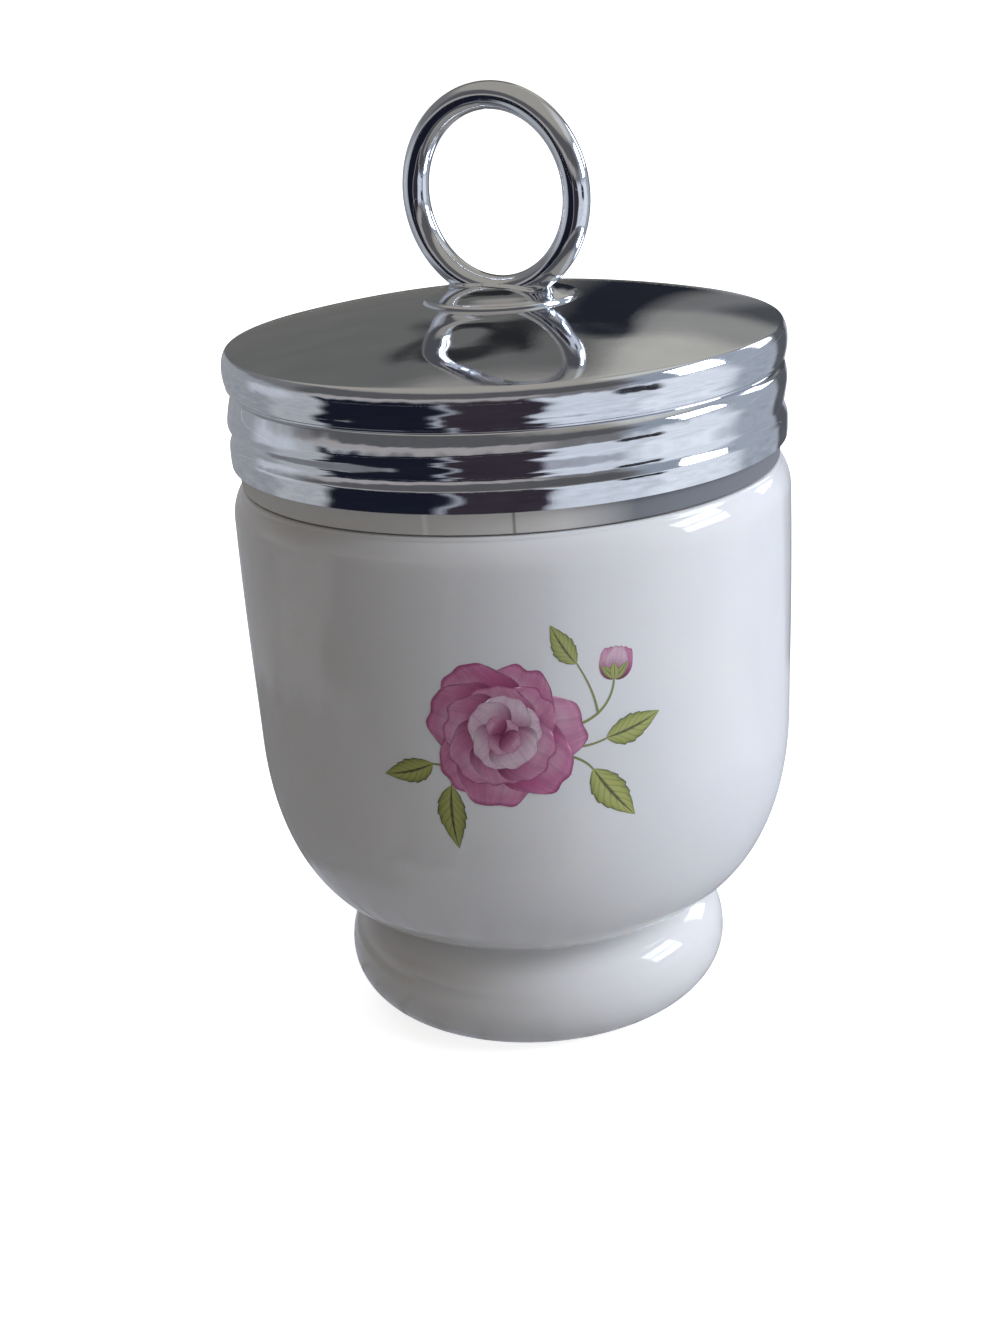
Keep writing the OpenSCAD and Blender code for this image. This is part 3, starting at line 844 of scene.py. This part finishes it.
studio = {
    "floorReach": 6.0,
    "centre": (0.0, 0.0, 0.07),
    "ambient": 0.195, "ambientColour": "#FFF4E7",
    "shadowGlow": 0.80, "farGlow": 0.97,  # the floor's own white near the cup and away from it
    "roomReach": 1.5, "roomColumns": 240, "roomRows": 70, "clothRows": 130,
    "roomGrain": {"size": 120, "shade": (0.93, 1.07)},  # faint stains of 120 mm
    "clothGrain": {"size": 45, "shade": (0.8, 1.15)},  # folds and small things of 45 mm
    "windowColour": "#EAF1FD",
    "paneDistance": 1.0,
    "panes": [
        # azimuth from the front towards the right, elevation, width and height in metres, watts
        {"azimuth": 83, "elevation": 13, "width": 0.42, "height": 0.19, "power": 2.1, "mirrored": True},
        {"azimuth": 83, "elevation": 26, "width": 0.42, "height": 0.20, "power": 2.2, "mirrored": True},
        {"azimuth": 127, "elevation": 18, "width": 0.24, "height": 0.38, "power": 1.4, "mirrored": True},
        {"azimuth": 62, "elevation": 36, "width": 0.5, "height": 0.5, "power": 3.6, "mirrored": False},
        {"azimuth": 55, "elevation": 5, "width": 0.4, "height": 0.1, "power": 1.7, "mirrored": False},
        {"azimuth": 200, "elevation": 28, "width": 0.8, "height": 0.6, "power": 3.8, "mirrored": False},
    ],
}

# The room that metal and glaze mirror, laid over each other in this order: azimuths from the front
# towards the right and elevations in degrees, a colour and the width of the soft edge.
roomGround = "#7C7C7E"
room = [
    {"azimuth": (-180, 180), "elevation": (38, 120), "colour": "#ABA79E", "feather": (1, 14)},  # ceiling
    {"azimuth": (-180, 180), "elevation": (-90, -2), "colour": "#AEB2BC", "feather": (1, 3)},  # table
    {"azimuth": (-175, -96), "elevation": (-36, 14), "colour": "#9DA0A5", "feather": (24, 6)},  # pale cloth
    {"azimuth": (-106, -54), "elevation": (-36, 8), "colour": "#B4B7BB", "feather": (12, 6)},
    {"azimuth": (-120, -92), "elevation": (-8, 4), "colour": "#C6CBD3", "feather": (12, 6)},
    {"azimuth": (-150, -50), "elevation": (-80, -36), "colour": "#7B7C80", "feather": (14, 4)},
    {"azimuth": (52, 126), "elevation": (36, 62), "colour": "#D6D8D4", "feather": (24, 16)},
    {"azimuth": (50, 104), "elevation": (-50, 36), "colour": "#9AA4B0", "feather": (14, 8)},  # window wall
    {"azimuth": (50, 104), "elevation": (-50, 5), "colour": "#F0F6FF", "feather": (14, 6)},
    {"azimuth": (98, 134), "elevation": (-50, 42), "colour": "#ABB3BE", "feather": (20, 8)},
    {"azimuth": (-96, 46), "elevation": (13, 36), "colour": "#5E5E60", "feather": (14, 5)},  # front wall
    {"azimuth": (-82, 16), "elevation": (5, 13), "colour": "#A9A5A4", "feather": (14, 3)},
    {"azimuth": (14, 50), "elevation": (-38, 3), "colour": "#DDE4EE", "feather": (8, 4)},
    {"azimuth": (-77, -26), "elevation": (-34, 3), "colour": "#1B1E2A", "feather": (7, 3)},  # dark cloths
    {"azimuth": (-50, -26), "elevation": (-70, -30), "colour": "#1D202B", "feather": (4, 3)},
    {"azimuth": (-60, -28), "elevation": (-47, -30), "colour": "#1D202B", "feather": (8, 4)},
    {"azimuth": (-23, 12), "elevation": (-70, 4), "colour": "#39333B", "feather": (4, 3)},
    {"azimuth": (43, 61), "elevation": (-8, 2), "colour": "#34353A", "feather": (4, 2)},
    {"azimuth": (136, 156), "elevation": (-40, 12), "colour": "#5C5E64", "feather": (6, 5)},
    {"azimuth": (171, 198), "elevation": (-30, 37), "colour": "#6C6C6A", "feather": (4, 5)},  # back wall
    {"azimuth": (150, 172), "elevation": (15, 27), "colour": "#969693", "feather": (4, 4)},
    {"azimuth": (150, 172), "elevation": (25, 44), "colour": "#BDBCB4", "feather": (4, 5)},
    {"azimuth": (150, 169), "elevation": (-4, 14), "colour": "#4E5155", "feather": (2, 4)},
    {"azimuth": (171.5, 177), "elevation": (-4, 25), "colour": "#23262F", "feather": (1.5, 2)},  # doorway
    {"azimuth": (177.5, 185), "elevation": (20, 31), "colour": "#2A2B2D", "feather": (1.5, 2)},
    {"azimuth": (183, 188), "elevation": (28, 31), "colour": "#3A3B3C", "feather": (1.5, 1.5)},
]


def towards(azimuth, elevation, distance):
    a = math.radians(azimuth)
    e = math.radians(elevation)
    c = studio["centre"]
    return (c[0] + distance * math.cos(e) * math.sin(a),
            c[1] - distance * math.cos(e) * math.cos(a),
            c[2] + distance * math.sin(e))


def roomColour(azimuth, elevation):
    # colour of the room in each direction
    colour = np.zeros(azimuth.shape + (4,)) + toLinear(roomGround)
    # things on the table have uneven edges
    uneven = 3.4 * np.sin(elevation * 0.16 + 0.6) + 1.8 * np.sin(elevation * 0.37 + azimuth * 0.08)
    azimuth = azimuth + uneven * (1 - smoothStep(np.abs(azimuth), 90, 140))
    wavy = 0.9 * np.sin(azimuth * 0.35) + 0.6 * np.sin(azimuth * 0.9 + 1)
    elevation = elevation + wavy * (1 - smoothStep(elevation, 25, 45))
    for patch in room:
        left, right = patch["azimuth"]
        low, high = patch["elevation"]
        side, rim = patch["feather"]
        half = (right - left) / 2
        off = np.abs((azimuth - (left + right) / 2 + 180) % 360 - 180)
        across = smoothStep(half - off, -side / 2, side / 2) if half < 180 else 1.0
        inside = np.minimum(elevation - low, high - elevation)
        cover = (across * smoothStep(inside, -rim / 2, rim / 2))[..., None]
        colour = colour * (1 - cover) + np.array(toLinear(patch["colour"])) * cover
    return colour


def paintedBoard(name, grain):
    # matt boards and cloths round the table, painted in soft patches and seen only as reflections
    material = newMaterial(name)
    tree = material.node_tree
    paint = addNode(tree, "ShaderNodeAttribute", attribute_name="paint").outputs["Color"]
    place = addNode(tree, "ShaderNodeNewGeometry").outputs["Position"]
    cloud = noise(tree, place, grain["size"], 5.0, Roughness=0.65)
    shade = ranged(tree, cloud, (0.3, 0.7), grain["shade"])
    return finishMaterial(material, "ShaderNodeEmission", {"Color": paint, "Strength": shade})


def makeBoard(name, points, fromRadius, fromHeight, grain):
    # each point is painted by its direction as seen from that radius and height on the lid
    board = gridObject(name, points / mm)
    at = np.array([v.co for v in board.data.vertices])
    out = np.maximum(np.hypot(at[:, 0], at[:, 1]) - fromRadius, 0.001)
    around = np.degrees(np.arctan2(at[:, 0], -at[:, 1]))
    rise = np.degrees(np.arctan2(at[:, 2] - fromHeight, out))
    paint = board.data.attributes.new("paint", "FLOAT_COLOR", "POINT")
    paint.data.foreach_set("color", roomColour(around, rise).ravel())
    board.data.materials.append(paintedBoard("boards_" + name, grain))
    for ray in ("camera", "diffuse", "shadow", "volume_scatter", "transmission"):
        setattr(board, "visible_" + ray, False)


def makeRoom():
    # a dome round the table, and a cloth on it that starts at the foot
    columns = studio["roomColumns"]
    reach = studio["roomReach"]
    middle = studio["centre"][2]
    turn = np.radians(np.arange(columns) * 360 / columns)[None, :]
    rise = np.radians(np.linspace(-2.6, 90, studio["roomRows"]))[:, None]
    dome = np.stack([reach * np.cos(rise) * np.sin(turn), -reach * np.cos(rise) * np.cos(turn),
                     middle + reach * np.sin(rise) * np.ones_like(turn)], -1)
    makeBoard("room", dome, 0.0, middle, studio["roomGrain"])
    out = np.geomspace(0.012, reach, studio["clothRows"])[:, None]
    cloth = np.stack([out * np.sin(turn), -out * np.cos(turn), 0.0004 * np.ones_like(out * turn)], -1)
    makeBoard("cloth", cloth, 0.028, 0.066, studio["clothGrain"])


def seenRay(tree):
    # 1 for what the camera, mirrors and glass see, 0 for what lights the pieces
    light = addNode(tree, "ShaderNodeLightPath")
    mirrored = maths(tree, "MAXIMUM", light.outputs["Is Camera Ray"], light.outputs["Is Glossy Ray"])
    return maths(tree, "MAXIMUM", mirrored, light.outputs["Is Transmission Ray"])


def makeFloor():
    reach = studio["floorReach"]
    grid = np.array([[(x, y, 0.0) for x in (-reach, reach)] for y in (-reach, 2 * reach)]) / mm
    floor = gridObject("floor", grid, closeAcross=False)
    material = newMaterial("paleFloorPaper")
    tree = material.node_tree
    paper = addNode(tree, "ShaderNodeBsdfDiffuse", {"Color": toLinear("#B2B1B0")})
    seenPaper = addNode(tree, "ShaderNodeBsdfDiffuse", {"Color": toLinear("#E0E0E0")})
    place = addNode(tree, "ShaderNodeNewGeometry").outputs["Position"]
    glows = (studio["shadowGlow"], studio["farGlow"])
    white = ranged(tree, vectorMaths(tree, "LENGTH", place), (0.04, 0.3), glows, smooth=True)
    glow = addNode(tree, "ShaderNodeEmission", {"Color": (1, 1, 1, 1), "Strength": white})
    both = addNode(tree, "ShaderNodeAddShader", {0: seenPaper.outputs[0], 1: glow.outputs[0]})
    sides = {0: seenRay(tree), 1: paper.outputs[0], 2: both.outputs[0]}
    floor.data.materials.append(finishMaterial(material, "ShaderNodeMixShader", sides))


def makeWorld():
    world = bpy.data.worlds.new("studio")
    bpy.context.scene.world = world
    world.use_nodes = True
    tree = world.node_tree
    tree.nodes.clear()
    ambient = {"Color": toLinear(studio["ambientColour"]), "Strength": studio["ambient"]}
    soft = addNode(tree, "ShaderNodeBackground", ambient)
    white = addNode(tree, "ShaderNodeBackground", {"Color": (1, 1, 1, 1), "Strength": 1.0})
    mix = addNode(tree, "ShaderNodeMixShader", {0: seenRay(tree), 1: soft.outputs[0], 2: white.outputs[0]})
    addNode(tree, "ShaderNodeOutputWorld", {"Surface": mix.outputs[0]})


def makePane(index, pane):
    data = bpy.data.lights.new(f"pane{index}", "AREA")
    data.shape = "RECTANGLE"
    data.size = pane["width"]
    data.size_y = pane["height"]
    data.energy = pane["power"]
    data.color = toLinear(studio["windowColour"])[:3]
    lamp = bpy.data.objects.new(f"pane{index}", data)
    lamp.location = place = towards(pane["azimuth"], pane["elevation"], studio["paneDistance"])
    aim = np.array(studio["centre"]) - np.array(place)
    lamp.rotation_euler = (math.atan2(math.hypot(aim[0], aim[1]), -aim[2]), 0, math.atan2(-aim[0], aim[1]))
    lamp.visible_glossy = pane["mirrored"]
    bpy.context.scene.collection.objects.link(lamp)


makeFloor()
makeWorld()
for number, window in enumerate(studio["panes"]):
    makePane(number, window)
makeRoom()
bpy.context.scene.view_settings.view_transform = "Standard"
print("studio:", len(studio["panes"]), "panes,", len(room), "patches of room")
